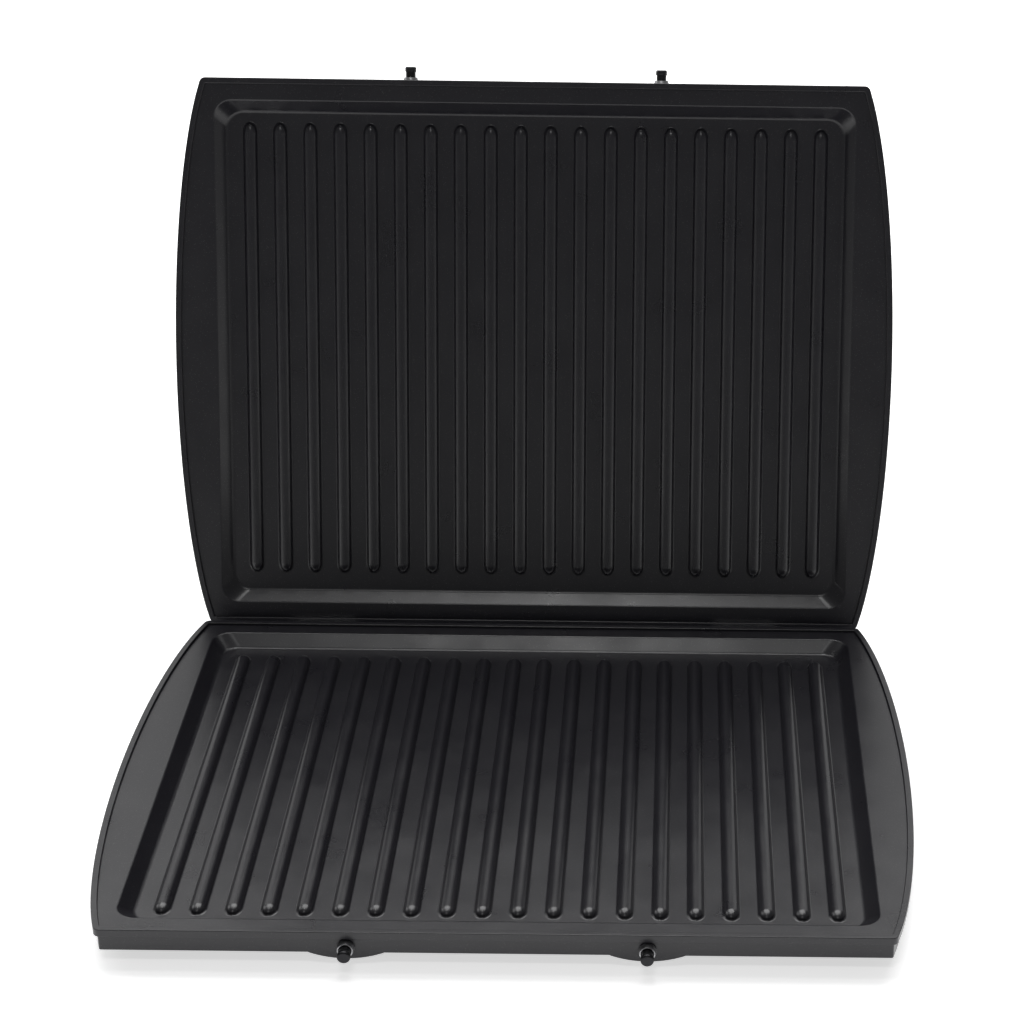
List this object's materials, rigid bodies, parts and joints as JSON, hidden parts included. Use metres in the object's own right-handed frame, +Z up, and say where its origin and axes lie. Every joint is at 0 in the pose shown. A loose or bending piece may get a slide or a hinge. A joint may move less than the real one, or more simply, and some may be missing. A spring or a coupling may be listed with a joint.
{
  "type": "panini press grill plate pair",
  "caption": "Hinged pair of ribbed non-stick grill plates for a panini press, with cast-in heater loops, front latch pins and rear hinges, standing open.",
  "frame": {"origin": "centre of the flat end of the lower plate's centre pad, on the surface that the object stands on", "axes": "+Z up, -Y towards the cook (the latch pins), +X to the right, along the hinge axis"},
  "size_m": [0.301, 0.3151, 0.2351],
  "materials": {
    "non_stick_coating": "satin black non-stick coating with fine sparkle on die-cast aluminium",
    "black_oxide_steel": "black oxide, satin",
    "bare_aluminium": "dull grey",
    "heater_sheath": "heat-tinted sheath",
    "ceramic": "unglazed cream ceramic",
    "plated_steel": "zinc plated, satin"
  },
  "bodies": {
    "base": {"hinge_pin_clip_left": "plated_steel", "hinge_pin_clip_right": "plated_steel", "hinge_pin_left": "plated_steel", "hinge_pin_right": "plated_steel", "lower_heater_element": "heater_sheath", "lower_heater_seal_left": "ceramic", "lower_heater_seal_right": "ceramic", "lower_heater_terminal_left": "plated_steel", "lower_heater_terminal_right": "plated_steel", "lower_hinge_leaf_left": "plated_steel", "lower_hinge_leaf_right": "plated_steel", "lower_latch_collar_left": "bare_aluminium", "lower_latch_collar_right": "bare_aluminium", "lower_latch_pin_left": "black_oxide_steel", "lower_latch_pin_right": "black_oxide_steel", "lower_leaf_screw_left_1": "plated_steel", "lower_leaf_screw_left_2": "plated_steel", "lower_leaf_screw_right_1": "plated_steel", "lower_leaf_screw_right_2": "plated_steel", "lower_plate": "non_stick_coating"},
    "lid": {"upper_heater_element": "heater_sheath", "upper_heater_seal_left": "ceramic", "upper_heater_seal_right": "ceramic", "upper_heater_terminal_left": "plated_steel", "upper_heater_terminal_right": "plated_steel", "upper_hinge_leaf_left": "plated_steel", "upper_hinge_leaf_right": "plated_steel", "upper_latch_collar_left": "bare_aluminium", "upper_latch_collar_right": "bare_aluminium", "upper_latch_pin_left": "black_oxide_steel", "upper_latch_pin_right": "black_oxide_steel", "upper_leaf_screw_left_1": "plated_steel", "upper_leaf_screw_left_2": "plated_steel", "upper_leaf_screw_right_1": "plated_steel", "upper_leaf_screw_right_2": "plated_steel", "upper_plate": "non_stick_coating"}
  },
  "joints": [
    {"name": "lid_hinge", "type": "hinge", "parent": "base", "child": "lid", "pos_m": [0, 0.117, 0.00901], "axis": [1, 0, 0], "range_deg": [0, 105]}
  ]
}
